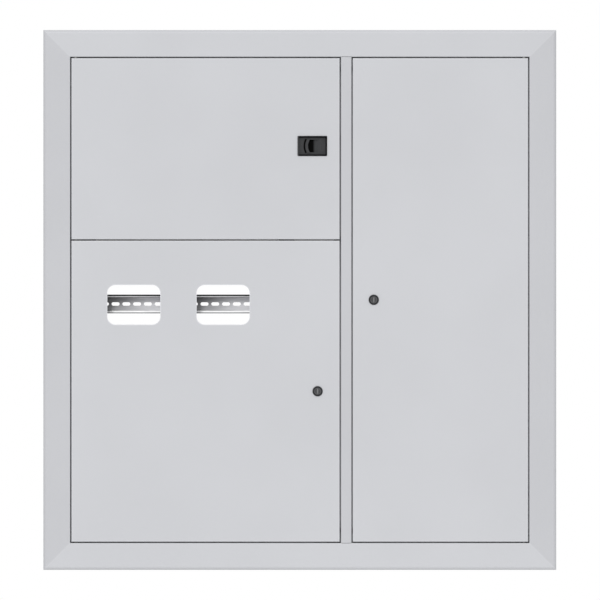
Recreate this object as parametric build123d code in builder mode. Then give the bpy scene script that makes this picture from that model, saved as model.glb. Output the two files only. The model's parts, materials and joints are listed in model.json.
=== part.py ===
from build123d import *
import os

# Flush floor distribution board: a mitred front frame with three folded doors,
# on an open-backed casing that slides into a wall niche.
# Millimetres. X across, Z up, front towards -Y. The origin is the centre of the
# four wall fixing holes, on the plane of the casing's rear flanges.

# Overall size
WIDTH = 950
HEIGHT = 1000
DEPTH = 140

# Front frame, folded and mitred
BORDER = 50
FRAME_SHEET = 1.5
FLANGE_DEPTH = 15
FRAME_LIP = 15
FRAME_EDGE_BEND = 6
FRAME_BEND = 2
LIP_BEND = 1
MULLION_WIDTH = 20
MULLION_LIP = 9
LEFT_OPENING = 501
UPPER_OPENING = 339

# Casing
CASING_SHEET = 1.2
CASING_BEND = 2
CASING_LAP = 12.5
REAR_FLANGE = 25
REAR_FLANGE_GAP = 1
FIXING_INSET = 52.7
CASING_STUD_SETBACK = 45
FIXING_RADIUS = 4.5
ENTRY_WIDTH_LEFT = 200
ENTRY_WIDTH_RIGHT = 120
ENTRY_DEPTH = 50
ENTRY_SETBACK = 35
SHELF_SLOT_WIDTH = 90
SHELF_SLOT_DEPTH = 50
CLEARANCE = 0.3

# Doors
DOOR_GAP = 2
DOOR_SHEET = 1.5
DOOR_RETURN = 10
DOOR_BEND = 2
PIN_INSET = 8
PIN_RADIUS = 2.5
PIN_FIT = 0.05
PIN_HEAD_RADIUS = 3
PIN_HEAD = 2
PIN_COLLAR_RADIUS = 3.2
PIN_REACH = 5
TAB_SIGHT = 2
BUFFER_RADIUS = 3.5
BUFFER_INSET = 20
DOOR_STUD_INSET = 45
DOOR_STUD_RISE = 40

# Crossbar behind the split between the two left doors
CROSSBAR_FACE = 40
CROSSBAR_BRIM = 12
CROSSBAR_BEND = 1.5
CROSSBAR_SLOT = 28
CROSSBAR_SLOT_HEIGHT = 9
CROSSBAR_SLOT_INSETS = (33, 400.5)
CROSSBAR_SHORT = 3.5

# Meter windows in the lower left door
WINDOW_WIDTH = 98
WINDOW_HEIGHT = 73.2
WINDOW_RADIUS = 15
WINDOW_PITCH = 165.4
WINDOW_INSET = 200.3
WINDOW_DROP = 119

# Mounting rails
RAIL_HEIGHT = 35
RAIL_CHANNEL = 25
RAIL_DEPTH = 7.5
RAIL_SHEET = 1
RAIL_BEND = 0.8
RAIL_SLOT_PITCH = 20
RAIL_SLOT_LENGTH = 15
RAIL_SLOT_HEIGHT = 6.4
RAIL_SLOT_PHASE = 4.9
RAIL_SEAT = 55
METER_RAIL_GAP = 5.4
METER_RAIL_DROP = 117.5
BREAKER_RAIL_WALL_GAP = 16.5
BREAKER_RAIL_PARTITION_GAP = 25.4
BREAKER_RAIL_RISES = (110, 250)
RAIL_END = 10

# Uprights
UPRIGHT_WIDTH = 25
UPRIGHT_CENTRE_WIDTH = 50
UPRIGHT_SHEET = 1.5
UPRIGHT_BEND = 2
UPRIGHT_RETURN = 12
UPRIGHT_FOOT = 25
UPRIGHT_FOOT_RELIEF = 12
UPRIGHT_FOOT_HOLE = 15

# Small fasteners: the many small rounds have few sides, which keeps the model light
SMALL_ROUND_SIDES = 12
SCREW_RADIUS = 2.5
SCREW_HEAD_WIDTH = 8
SCREW_HEAD = 2.6
SCREW_TAIL = 8
FOOT_SCREW_TAIL = 4
SCREW_FIT = 0.1
NUT_WIDTH = 8
NUT_HEIGHT = 4
STUD_RADIUS = 3
STUD_LENGTH = 14
STUD_NUT_WIDTH = 10
STUD_NUT_HEIGHT = 5
STUD_WASHER_RADIUS = 6.5
STUD_WASHER = 1.6

# Neutral and earth bars
BAR_LENGTH = 240
BAR_WIDTH = 9
BAR_DEPTH = 8
BAR_STANDOFF = 14
BAR_RISE = 190
BAR_SETBACK = 45
BAR_WAY_PITCH = 25
BAR_WAY_RADIUS = 2.6
BAR_SCREW_RADIUS = 2
BAR_SCREW_SHANK = 1.5
BAR_SCREW_HEAD = 2
BLOCK_HEIGHT = 20
BLOCK_DEPTH = 16

# Low-current straps
STRAP_HEIGHT = 25
STRAP_SHEET = 1.5
STRAP_SEAT = 30
STRAP_TAB = 20
STRAP_RISES = (-200, 200)
STRAP_HOLE_RADIUS = 2.7
STRAP_HOLE_PITCH = 50

# Quarter-turn locks
LOCK_HEAD_RADIUS = 9.4
LOCK_HEAD = 2.4
LOCK_HEAD_CHAMFER = 0.8
LOCK_WELL_RADIUS = 6.6
LOCK_WELL = 1.4
LOCK_BARREL_RADIUS = 8
LOCK_FLAT = 14
LOCK_LENGTH = 16.5
LOCK_NUT_WIDTH = 22
LOCK_NUT_HEIGHT = 4
LOWER_LOCK_EDGE = 41
RIGHT_LOCK_EDGE = 39
LOWER_LOCK_DROP = 279
RIGHT_LOCK_DROP = 447.7
CORE_RADIUS = 5
CORE_TAIL_WIDTH = 6
BIT_WIDTH = 2.6
BIT_LENGTH = 9.6
BIT_HEIGHT = 1.2
CAM_REACH = 39
CAM_WIDTH = 15
CAM_SHEET = 2.5
CAM_SCREW_RADIUS = 4.5
CAM_SCREW_HEAD = 2
CAM_SCREW_SHANK = 2
CAM_SCREW_TAIL = 8

# Slide latch of the upper left door
LATCH_WIDTH = 54.6
LATCH_HEIGHT = 36.9
LATCH_PROUD = 2
LATCH_RIM = 2.6
LATCH_CORNER = 1
LATCH_SKIRT = 1.2
LATCH_CHAMFER = 0.5
LATCH_EDGE = 50.8
LATCH_DROP = 162.9
LATCH_TRAVEL = 8
SLIDER_PLATE = 2.5
SLIDER_RAIL = 4
SLIDER_SKIN = 1.2
CUP_REACH = 11.2
CUP_HEIGHT = 26
CUP_DEPTH = 6
CUP_CORNER = 5
CUP_RUNOUT = 0.35
CUP_OFFSET = 3.2
CRESCENT_RADIUS = 27
CRESCENT_THICK = 4.8
GROOVE_WIDTH = 3.5
GROOVE_DEPTH = 1.5
RIB_PITCH = 2
RIB_WIDTH = 0.8
RIB_HEIGHT = 0.6
RIB_COUNT_LEFT = 4
RIB_COUNT_RIGHT = 5
HOUSING_WALL = 1.6
HOUSING_EAR = 9
BOLT_WIDTH = 14
BOLT_SHEET = 1.5
BOLT_NOSE = 3
BOLT_SETBACK = 1
LEG_WIDTH = 10
LEG_LENGTH = 14
LEG_SCREW_TAIL = 5

# Planes and lines worked out from the sizes above
FRONT = -DEPTH
WALL = FRONT + FLANGE_DEPTH
LEFT_EDGE = -WIDTH / 2 + BORDER
RIGHT_EDGE = WIDTH / 2 - BORDER
TOP_EDGE = HEIGHT / 2 - BORDER
BOTTOM_EDGE = -HEIGHT / 2 + BORDER
MULLION_LEFT = LEFT_EDGE + LEFT_OPENING
MULLION_RIGHT = MULLION_LEFT + MULLION_WIDTH
MULLION_X = MULLION_LEFT + MULLION_WIDTH / 2
SPLIT_Z = TOP_EDGE - UPPER_OPENING
LIP_BACK = WALL + FRAME_SHEET

CASING_INSIDE = WIDTH / 2 - BORDER + FRAME_SHEET
CASING_OUTSIDE = CASING_INSIDE + CASING_SHEET
CASING_TOP_INSIDE = HEIGHT / 2 - BORDER + FRAME_SHEET
CASING_TOP_OUTSIDE = CASING_TOP_INSIDE + CASING_SHEET
CASING_FRONT = WALL - CASING_LAP
FIXING_X = CASING_OUTSIDE - REAR_FLANGE / 2
FIXING_RISE = CASING_TOP_OUTSIDE - FIXING_INSET
PARTITION_LEFT = MULLION_X - CASING_SHEET / 2
PARTITION_RIGHT = MULLION_X + CASING_SHEET / 2

DOOR_BACK = FRONT + DOOR_RETURN
DOOR_INSIDE = FRONT + DOOR_SHEET
PIN_Y = FRONT + DOOR_RETURN / 2
PIN_SWEEP = (PIN_INSET**2 + (DOOR_RETURN / 2) ** 2) ** 0.5
LEFT_PIN_X = LEFT_EDGE + DOOR_GAP + PIN_INSET
RIGHT_PIN_X = RIGHT_EDGE - DOOR_GAP - PIN_INSET
LEFT_DOOR_LEFT = LEFT_EDGE + DOOR_GAP
LEFT_DOOR_RIGHT = MULLION_LEFT - DOOR_GAP
RIGHT_DOOR_LEFT = MULLION_RIGHT + DOOR_GAP
RIGHT_DOOR_RIGHT = RIGHT_EDGE - DOOR_GAP
DOOR_TOP = TOP_EDGE - DOOR_GAP
DOOR_BOTTOM = BOTTOM_EDGE + DOOR_GAP
UPPER_DOOR_BOTTOM = SPLIT_Z + DOOR_GAP / 2
LOWER_DOOR_TOP = SPLIT_Z - DOOR_GAP / 2

WINDOWS_X = LEFT_EDGE + WINDOW_INSET
WINDOW_Z = LOWER_DOOR_TOP - WINDOW_DROP
WINDOW_XS = (WINDOWS_X - WINDOW_PITCH / 2, WINDOWS_X + WINDOW_PITCH / 2)
METER_RAIL_Z = LOWER_DOOR_TOP - METER_RAIL_DROP
METER_RAIL_LENGTH = WINDOW_PITCH - METER_RAIL_GAP
BREAKER_RAIL_LEFT = -CASING_INSIDE + BREAKER_RAIL_WALL_GAP
BREAKER_RAIL_RIGHT = PARTITION_LEFT - BREAKER_RAIL_PARTITION_GAP
BREAKER_RAIL_LENGTH = BREAKER_RAIL_RIGHT - BREAKER_RAIL_LEFT
BREAKER_RAIL_X = (BREAKER_RAIL_LEFT + BREAKER_RAIL_RIGHT) / 2
RAIL_HOLE = METER_RAIL_LENGTH / 2 - RAIL_END
BREAKER_RAIL_HOLE = BREAKER_RAIL_LENGTH / 2 - RAIL_END
BREAKER_RAIL_ZS = [SPLIT_Z + rise for rise in BREAKER_RAIL_RISES]
SHELF_Z = SPLIT_Z + CROSSBAR_FACE / 2
SHELF_SKIRT = CROSSBAR_FACE + CROSSBAR_BRIM
CROSSBAR_FRONT = DOOR_BACK + CLEARANCE
CROSSBAR_START = LEFT_PIN_X + ((PIN_SWEEP + CLEARANCE) ** 2 - (CROSSBAR_FRONT - PIN_Y) ** 2) ** 0.5
CROSSBAR_END = MULLION_LEFT - MULLION_LIP - CROSSBAR_SHORT
SHELF_FRONT = LIP_BACK + CASING_SHEET
METER_UPRIGHTS = {
    "meter_upright_left": (WINDOW_XS[0] - RAIL_HOLE, UPRIGHT_WIDTH),
    "meter_upright_centre": (WINDOWS_X, UPRIGHT_CENTRE_WIDTH),
    "meter_upright_right": (WINDOW_XS[1] + RAIL_HOLE, UPRIGHT_WIDTH),
}
BREAKER_UPRIGHTS = {
    "breaker_upright_left": BREAKER_RAIL_X - BREAKER_RAIL_HOLE,
    "breaker_upright_right": BREAKER_RAIL_X + BREAKER_RAIL_HOLE,
}
FOOT_Y = -RAIL_SEAT + UPRIGHT_FOOT_HOLE
LOWER_LOCK = (LEFT_DOOR_RIGHT - LOWER_LOCK_EDGE, LOWER_DOOR_TOP - LOWER_LOCK_DROP)
RIGHT_LOCK = (RIGHT_DOOR_LEFT + RIGHT_LOCK_EDGE, DOOR_TOP - RIGHT_LOCK_DROP)
LATCH_X = LEFT_DOOR_RIGHT - LATCH_EDGE
LATCH_Z = DOOR_TOP - LATCH_DROP
ENTRY_LEFT_X = (LEFT_EDGE + MULLION_LEFT) / 2
ENTRY_RIGHT_X = (MULLION_RIGHT + RIGHT_EDGE) / 2
ENTRY_Y = WALL + ENTRY_SETBACK

os.makedirs("parts", exist_ok=True)


def save(builder, name):
    """Label a finished piece and write its file."""
    builder.part.label = name
    export_step(builder.part, f"parts/{name}.step")


def facing(y):
    """The plane at depth y that faces the front, with X across and Z up."""
    return Plane.XZ.offset(-y)


def small_round(radius, mode=Mode.ADD):
    """Sketch one of the many small rounds, such as a screw's shank or its hole."""
    RegularPolygon(radius, SMALL_ROUND_SIDES, mode=mode)


def folded(plane, points, bends, sheet, length, both=False):
    """A folded sheet: its outer line goes through points, its material lies to the left."""
    with BuildPart() as piece:
        with BuildSketch(plane):
            with BuildLine():
                FilletPolyline(*points, radius=bends)
                offset(amount=sheet, side=Side.LEFT)
            make_face()
        extrude(amount=length, both=both)
    return piece.part


# Front frame: four channels with a lip, joined on mitres at the corners


def frame_member(plane, length):
    """A frame side along the plane's Z, with the plane's X pointing to the opening."""
    section = [
        (0, FLANGE_DEPTH),
        (0, 0),
        (BORDER, 0),
        (BORDER, FLANGE_DEPTH),
        (BORDER + FRAME_LIP, FLANGE_DEPTH),
    ]
    bends = [FRAME_EDGE_BEND, FRAME_BEND, LIP_BEND]
    bar = folded(plane, section, bends, FRAME_SHEET, length / 2, both=True)
    with BuildPart() as member:
        add(bar)
        for end in (1, -1):
            along = plane.z_dir * end
            mitre = Plane(origin=plane.origin + along * (length / 2), z_dir=plane.x_dir + along)
            split(bisect_by=mitre, keep=Keep.BOTTOM)
    return member.part


def side_plane(x, z, inward):
    """The plane of a frame side whose outer front edge passes through (x, FRONT, z)."""
    return Plane(origin=(x, FRONT, z), x_dir=inward, z_dir=Vector(*inward).cross(Vector(0, 1, 0)))


def pinned(member, xs, z):
    """A rail of the frame with the holes for its hinge pins."""
    with BuildPart() as rail:
        add(member)
        with BuildSketch(Plane.XY.offset(z)):
            with Locations(*[(x, PIN_Y) for x in xs]):
                Circle(PIN_RADIUS + PIN_FIT)
        extrude(amount=2 * FRAME_SHEET, both=True, mode=Mode.SUBTRACT)
    return rail


left_side = frame_member(side_plane(-WIDTH / 2, 0, (1, 0, 0)), HEIGHT)
right_side = frame_member(side_plane(WIDTH / 2, 0, (-1, 0, 0)), HEIGHT)
top_side = frame_member(side_plane(0, HEIGHT / 2, (0, 0, -1)), WIDTH)
bottom_side = frame_member(side_plane(0, -HEIGHT / 2, (0, 0, 1)), WIDTH)

with BuildPart() as frame_left_stile:
    add(left_side)
save(frame_left_stile, "frame_left_stile")

with BuildPart() as frame_right_stile:
    add(right_side)
save(frame_right_stile, "frame_right_stile")

PIN_XS = (LEFT_PIN_X, RIGHT_PIN_X)
frame_top_rail = pinned(top_side, PIN_XS, TOP_EDGE)
save(frame_top_rail, "frame_top_rail")
frame_bottom_rail = pinned(bottom_side, PIN_XS, BOTTOM_EDGE)
save(frame_bottom_rail, "frame_bottom_rail")

# Mullion: a hat section whose lips end at the lips of the frame
mullion_half = MULLION_WIDTH / 2
mullion_section = [
    (-mullion_half - MULLION_LIP, FLANGE_DEPTH),
    (-mullion_half, FLANGE_DEPTH),
    (-mullion_half, 0),
    (mullion_half, 0),
    (mullion_half, FLANGE_DEPTH),
    (mullion_half + MULLION_LIP, FLANGE_DEPTH),
]
mullion_plane = Plane(origin=(MULLION_X, FRONT, 0), x_dir=(1, 0, 0), z_dir=(0, 0, 1))
mullion_bends = [LIP_BEND, FRAME_BEND, FRAME_BEND, LIP_BEND]
mullion_bar = folded(mullion_plane, mullion_section, mullion_bends, FRAME_SHEET, TOP_EDGE, both=True)
with BuildPart() as mullion:
    add(mullion_bar)
    for end in (1, -1):
        with BuildSketch(facing(WALL - LIP_BEND)):
            with Locations((MULLION_X, end * (TOP_EDGE - FRAME_LIP / 2))):
                Rectangle(MULLION_WIDTH + 4 * MULLION_LIP, FRAME_LIP + CLEARANCE)
        extrude(amount=-4 * FRAME_SHEET, mode=Mode.SUBTRACT)
save(mullion, "mullion")

# Crossbar: a hat lying behind the split, with its brims run on behind the lips
face_half = CROSSBAR_FACE / 2
crossbar_back = LIP_BACK - CROSSBAR_FRONT
crossbar_section = [
    (-face_half - CROSSBAR_BRIM, crossbar_back),
    (-face_half, crossbar_back),
    (-face_half, 0),
    (face_half, 0),
    (face_half, crossbar_back),
    (face_half + CROSSBAR_BRIM, crossbar_back),
]
brim_left = LEFT_EDGE + CLEARANCE
brim_right = MULLION_LEFT - CLEARANCE
crossbar_plane = Plane(origin=(brim_left, CROSSBAR_FRONT, SPLIT_Z), x_dir=(0, 0, -1), z_dir=(1, 0, 0))
crossbar_bends = [CROSSBAR_BEND / 2, CROSSBAR_BEND, CROSSBAR_BEND, CROSSBAR_BEND / 2]
crossbar_bar = folded(
    crossbar_plane, crossbar_section, crossbar_bends, CASING_SHEET, brim_right - brim_left
)
with BuildPart() as crossbar:
    add(crossbar_bar)
    for start, stop in ((brim_left, CROSSBAR_START), (CROSSBAR_END, brim_right)):
        with BuildSketch(facing(LIP_BACK)):
            with Locations(((start + stop) / 2, SPLIT_Z)):
                Rectangle(stop - start, CROSSBAR_FACE + 4 * CASING_SHEET)
        extrude(amount=2 * FLANGE_DEPTH, mode=Mode.SUBTRACT)
    with BuildSketch(facing(CROSSBAR_FRONT)):
        with Locations(*[(LEFT_EDGE + inset, SPLIT_Z) for inset in CROSSBAR_SLOT_INSETS]):
            Rectangle(CROSSBAR_SLOT, CROSSBAR_SLOT_HEIGHT)
    extrude(amount=-2 * CASING_SHEET, mode=Mode.SUBTRACT)
save(crossbar, "crossbar")

# Tab that carries the pin between the two left doors, ending short of the crossbar
TAB_SHEET = DOOR_GAP - 2 * CLEARANCE
TAB_REACH = CROSSBAR_START - LEFT_EDGE - TAB_SIGHT
TAB_DEPTH = FLANGE_DEPTH - FRAME_BEND - LIP_BEND
with BuildPart() as middle_hinge_tab:
    with BuildSketch(Plane.XY.offset(SPLIT_Z - TAB_SHEET / 2)):
        with Locations((LEFT_EDGE, WALL - LIP_BEND)):
            Rectangle(TAB_REACH, TAB_DEPTH, align=(Align.MIN, Align.MAX))
        with Locations((LEFT_PIN_X, PIN_Y)):
            Circle(PIN_RADIUS + PIN_FIT, mode=Mode.SUBTRACT)
    extrude(amount=TAB_SHEET)
    tab_corners = middle_hinge_tab.edges().filter_by(Axis.Z).group_by(Axis.X)[-1]
    fillet(tab_corners.sort_by(Axis.Y)[0], PIN_RADIUS)
save(middle_hinge_tab, "middle_hinge_tab")


# Casing: four walls lapped inside the frame, a partition and a shelf


def side_wall(sign):
    """A side wall with its rear flange turned in and the two wall fixing holes."""
    corner = CASING_OUTSIDE
    wall_line = [(corner, CASING_FRONT), (corner, 0), (corner - REAR_FLANGE, 0)]
    sheet = folded(Plane.XY, wall_line, CASING_BEND, CASING_SHEET, CASING_TOP_OUTSIDE, both=True)
    with BuildPart() as wall:
        add(sheet)
        with BuildSketch(facing(0)):
            with Locations((FIXING_X, FIXING_RISE), (FIXING_X, -FIXING_RISE)):
                Circle(FIXING_RADIUS)
        extrude(amount=2 * CASING_SHEET, mode=Mode.SUBTRACT)
        # The flange is notched where the end walls meet the side wall
        with BuildSketch(facing(0)):
            for end in (1, -1):
                with Locations((CASING_INSIDE, end * CASING_TOP_OUTSIDE)):
                    Rectangle(2 * REAR_FLANGE, 4 * CASING_SHEET, align=(Align.MAX, Align.CENTER))
        extrude(amount=2 * CASING_BEND, mode=Mode.SUBTRACT)
    with BuildPart() as placed:
        if sign > 0:
            add(wall.part)
        else:
            add(wall.part.mirror(Plane.YZ))
    return placed


def end_wall(sign):
    """A top or bottom wall between the side walls, with its cable entries and pin notches."""
    wall_line = [
        (CASING_FRONT, CASING_TOP_OUTSIDE),
        (0, CASING_TOP_OUTSIDE),
        (0, CASING_TOP_OUTSIDE - REAR_FLANGE),
    ]
    flange_clear = 2 * (REAR_FLANGE + REAR_FLANGE_GAP)
    with BuildPart() as wall:
        with BuildSketch(Plane.YZ):
            with BuildLine():
                FilletPolyline(*wall_line, radius=CASING_BEND)
                offset(amount=CASING_SHEET, side=Side.RIGHT)
            make_face()
        extrude(amount=CASING_INSIDE, both=True)
        # The flange stops short of the side walls' flanges
        with BuildSketch(facing(0)):
            for hand in (1, -1):
                with Locations((hand * CASING_OUTSIDE, CASING_TOP_INSIDE)):
                    Rectangle(flange_clear, 2 * REAR_FLANGE, align=(Align.CENTER, Align.MAX))
        extrude(amount=2 * CASING_BEND, mode=Mode.SUBTRACT)
        with BuildSketch(Plane.XY.offset(CASING_TOP_INSIDE)):
            with Locations((ENTRY_LEFT_X, ENTRY_Y)):
                RectangleRounded(ENTRY_WIDTH_LEFT, ENTRY_DEPTH, CASING_BEND)
            with Locations((ENTRY_RIGHT_X, ENTRY_Y)):
                RectangleRounded(ENTRY_WIDTH_RIGHT, ENTRY_DEPTH, CASING_BEND)
            with Locations((LEFT_PIN_X, CASING_FRONT), (RIGHT_PIN_X, CASING_FRONT)):
                Rectangle(4 * PIN_HEAD_RADIUS, 4 * PIN_HEAD_RADIUS)
        extrude(amount=2 * CASING_SHEET, mode=Mode.SUBTRACT)
    with BuildPart() as placed:
        if sign > 0:
            add(wall.part)
        else:
            add(wall.part.mirror(Plane.XY))
    return placed


casing_right_wall = side_wall(1)
with BuildPart() as casing_left_wall:
    add(side_wall(-1).part)
    # Earthing stud welded low on the wall
    with BuildSketch(Plane.YZ.offset(-CASING_INSIDE)):
        with Locations((FRONT + CASING_STUD_SETBACK, -FIXING_RISE)):
            small_round(STUD_RADIUS)
    extrude(amount=STUD_LENGTH)
save(casing_left_wall, "casing_left_wall")
save(casing_right_wall, "casing_right_wall")


def foot_holes(xs, z, outline=Circle):
    """Cut the holes for upright screws in a level sheet at height z, with the given outline."""
    with BuildSketch(Plane.XY.offset(z)) as holes:
        with Locations(*[(x, FOOT_Y) for x in xs]):
            outline(SCREW_RADIUS + SCREW_FIT)
    extrude(holes.sketch, amount=2 * CASING_SHEET, both=True, mode=Mode.SUBTRACT)


METER_FEET = [x for x, width in METER_UPRIGHTS.values()]
BREAKER_FEET = list(BREAKER_UPRIGHTS.values())

with BuildPart() as casing_top_wall:
    add(end_wall(1).part)
    foot_holes(BREAKER_FEET, CASING_TOP_INSIDE)
save(casing_top_wall, "casing_top_wall")

with BuildPart() as casing_bottom_wall:
    add(end_wall(-1).part)
    foot_holes(METER_FEET, -CASING_TOP_INSIDE)
save(casing_bottom_wall, "casing_bottom_wall")

# Partition between the left compartments and the low-current one
PARTITION_FRONT = FRONT + FRAME_SHEET
partition_line = [
    (MULLION_LEFT + 2 * FRAME_SHEET, PARTITION_FRONT),
    (PARTITION_RIGHT, PARTITION_FRONT),
    (PARTITION_RIGHT, 0),
]
partition_sheet = folded(
    Plane.XY, partition_line, CASING_BEND, CASING_SHEET, CASING_TOP_INSIDE, both=True
)
with BuildPart() as compartment_partition:
    add(partition_sheet)
    for end in (1, -1):
        with BuildSketch(facing(LIP_BACK)):
            with Locations((MULLION_X, end * TOP_EDGE)):
                Rectangle(2 * MULLION_WIDTH, 2 * FRAME_LIP + 2 * CLEARANCE)
        extrude(amount=FLANGE_DEPTH + FRAME_SHEET, mode=Mode.SUBTRACT)
        # Clears the rear flange of the end wall
        with BuildSketch(facing(0)):
            with Locations((MULLION_X, end * CASING_TOP_OUTSIDE)):
                Rectangle(2 * MULLION_WIDTH, 2 * REAR_FLANGE + 2 * CLEARANCE)
        extrude(amount=CASING_BEND, mode=Mode.SUBTRACT)
save(compartment_partition, "compartment_partition")

# Shelf between the upper and the lower left compartment: its front skirt closes the crossbar's
# back, and two short flanges turn down along the walls
shelf_left = -CASING_INSIDE
shelf_width = PARTITION_LEFT - shelf_left
with BuildPart() as compartment_shelf:
    with BuildSketch(Plane.XY.offset(SHELF_Z)):
        with Locations((shelf_left, SHELF_FRONT)):
            Rectangle(shelf_width, -SHELF_FRONT - 2 * CASING_BEND, align=(Align.MIN, Align.MIN))
    extrude(amount=-SHELF_SKIRT)
    shelf_under = compartment_shelf.faces().sort_by(Axis.Z)[0]
    shelf_back = compartment_shelf.faces().sort_by(Axis.Y)[-1]
    offset(amount=-CASING_SHEET, openings=[shelf_under, shelf_back])
    with BuildSketch(Plane.XY.offset(SHELF_Z - CROSSBAR_BRIM)):
        with Locations((shelf_left, SHELF_FRONT + CASING_SHEET)):
            Rectangle(shelf_width, -SHELF_FRONT, align=(Align.MIN, Align.MIN))
    extrude(amount=-SHELF_SKIRT, mode=Mode.SUBTRACT)
    shelf_slot_xs = [(a + b) / 2 for a, b in zip(METER_FEET, METER_FEET[1:])]
    with BuildSketch(Plane.XY.offset(SHELF_Z)):
        with Locations(*[(x, FOOT_Y) for x in shelf_slot_xs]):
            SlotOverall(SHELF_SLOT_WIDTH, SHELF_SLOT_DEPTH)
    extrude(amount=-2 * CASING_SHEET, mode=Mode.SUBTRACT)
    foot_holes(METER_FEET + BREAKER_FEET, SHELF_Z, small_round)
save(compartment_shelf, "compartment_shelf")


# Mounting rails, uprights and their fasteners


def mounting_rail(x, z, length, hole):
    """A slotted top-hat rail centred on x and z, seated on the uprights."""
    channel = RAIL_CHANNEL / 2
    section = [
        (-RAIL_HEIGHT / 2, 0),
        (-channel, 0),
        (-channel, RAIL_DEPTH - RAIL_SHEET),
        (channel, RAIL_DEPTH - RAIL_SHEET),
        (channel, 0),
        (RAIL_HEIGHT / 2, 0),
    ]
    plane = Plane(origin=(x, -RAIL_SEAT - RAIL_DEPTH, z), x_dir=(0, 0, -1), z_dir=(1, 0, 0))
    with BuildPart() as rail:
        with BuildSketch(plane):
            with BuildLine():
                FilletPolyline(*section, radius=RAIL_BEND)
                offset(amount=RAIL_SHEET, side=Side.LEFT)
            make_face()
        extrude(amount=length / 2, both=True)
        count = int(length / RAIL_SLOT_PITCH)
        offsets = [RAIL_SLOT_PHASE + RAIL_SLOT_PITCH * step for step in range(-count, count)]
        slots = [o for o in offsets if abs(o) + RAIL_SLOT_LENGTH / 2 < hole - 2 * SCREW_RADIUS]
        with BuildSketch(facing(-RAIL_SEAT)):
            slot_straight = RAIL_SLOT_LENGTH - RAIL_SLOT_HEIGHT
            with Locations(*[(x + o, z) for o in slots]):
                Rectangle(slot_straight, RAIL_SLOT_HEIGHT)
                with Locations((-slot_straight / 2, 0), (slot_straight / 2, 0)):
                    small_round(RAIL_SLOT_HEIGHT / 2)
            with Locations((x - hole, z), (x + hole, z)):
                small_round(SCREW_RADIUS + SCREW_FIT)
        extrude(amount=2 * RAIL_SHEET, mode=Mode.SUBTRACT)
    return rail


def upright(x, width, bottom, top, screws):
    """An upright folded from one sheet: a web with two side returns and two feet."""
    web = -RAIL_SEAT
    with BuildPart() as post:
        with BuildSketch(Plane.YZ.offset(x - width / 2)):
            with BuildLine():
                FilletPolyline(
                    (web + UPRIGHT_FOOT, top),
                    (web, top),
                    (web, bottom),
                    (web + UPRIGHT_FOOT, bottom),
                    radius=UPRIGHT_BEND,
                )
                offset(amount=UPRIGHT_SHEET, side=Side.LEFT)
            make_face()
        extrude(amount=width)
        with BuildSketch(facing(web)):
            for side in (1, -1):
                with Locations((x + side * (width - UPRIGHT_SHEET) / 2, (bottom + top) / 2)):
                    Rectangle(UPRIGHT_SHEET, top - bottom - 2 * UPRIGHT_FOOT_RELIEF)
        extrude(amount=-UPRIGHT_RETURN)
        with BuildSketch(facing(web)):
            with Locations(*screws):
                small_round(SCREW_RADIUS + SCREW_FIT)
        extrude(amount=-2 * UPRIGHT_SHEET, mode=Mode.SUBTRACT)
        with BuildSketch(Plane.XY.offset(bottom)):
            with Locations((x, FOOT_Y)):
                small_round(SCREW_RADIUS + SCREW_FIT)
        extrude(amount=top - bottom, mode=Mode.SUBTRACT)
    return post


METER_SCREWS = [(x + side * RAIL_HOLE, METER_RAIL_Z) for x in WINDOW_XS for side in (-1, 1)]
BREAKER_SCREWS = [(x, z) for x in BREAKER_FEET for z in BREAKER_RAIL_ZS]
RAIL_SCREWS = METER_SCREWS + BREAKER_SCREWS

for name, x in zip(("meter_rail_left", "meter_rail_right"), WINDOW_XS):
    save(mounting_rail(x, METER_RAIL_Z, METER_RAIL_LENGTH, RAIL_HOLE), name)
for name, z in zip(("breaker_rail_lower", "breaker_rail_upper"), BREAKER_RAIL_ZS):
    save(mounting_rail(BREAKER_RAIL_X, z, BREAKER_RAIL_LENGTH, BREAKER_RAIL_HOLE), name)

LOWER_FOOT = -CASING_TOP_INSIDE
SHELF_UNDER = SHELF_Z - CASING_SHEET
for name, (x, width) in METER_UPRIGHTS.items():
    near = [point for point in METER_SCREWS if abs(point[0] - x) < width / 2]
    save(upright(x, width, LOWER_FOOT, SHELF_UNDER, near), name)
for name, x in BREAKER_UPRIGHTS.items():
    near = [point for point in BREAKER_SCREWS if point[0] == x]
    save(upright(x, UPRIGHT_WIDTH, SHELF_Z, CASING_TOP_INSIDE, near), name)


def screw(plane, tail):
    """A hexagon-headed screw: its head stands on the plane, its tail goes below it."""
    with BuildPart() as fastener:
        with BuildSketch(plane):
            small_round(SCREW_RADIUS)
        extrude(amount=-tail)
        with BuildSketch(plane):
            RegularPolygon(SCREW_HEAD_WIDTH / 2, 6, major_radius=False)
        extrude(amount=SCREW_HEAD)
    return fastener.part


def nut(plane, width, height, hole, outline=small_round):
    """A hexagon nut standing on the plane, with a hole of the given outline."""
    with BuildPart() as fastener:
        with BuildSketch(plane):
            RegularPolygon(width / 2, 6, major_radius=False)
            outline(hole, mode=Mode.SUBTRACT)
        extrude(amount=height)
    return fastener.part


def at(plane, x, y):
    """The plane moved to the local point (x, y)."""
    return Plane(origin=plane.from_local_coords((x, y, 0)), x_dir=plane.x_dir, z_dir=plane.z_dir)


rail_web = facing(-RAIL_SEAT - RAIL_SHEET)
with BuildPart() as rail_screws:
    for x, z in RAIL_SCREWS:
        add(screw(at(rail_web, x, z), SCREW_TAIL))
save(rail_screws, "rail_screws")

upright_back = Plane(origin=(0, -RAIL_SEAT + UPRIGHT_SHEET, 0), x_dir=(-1, 0, 0), z_dir=(0, 1, 0))
with BuildPart() as rail_nuts:
    for x, z in RAIL_SCREWS:
        add(nut(at(upright_back, -x, z), NUT_WIDTH, NUT_HEIGHT, SCREW_RADIUS + SCREW_FIT / 2))
save(rail_nuts, "rail_nuts")

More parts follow.
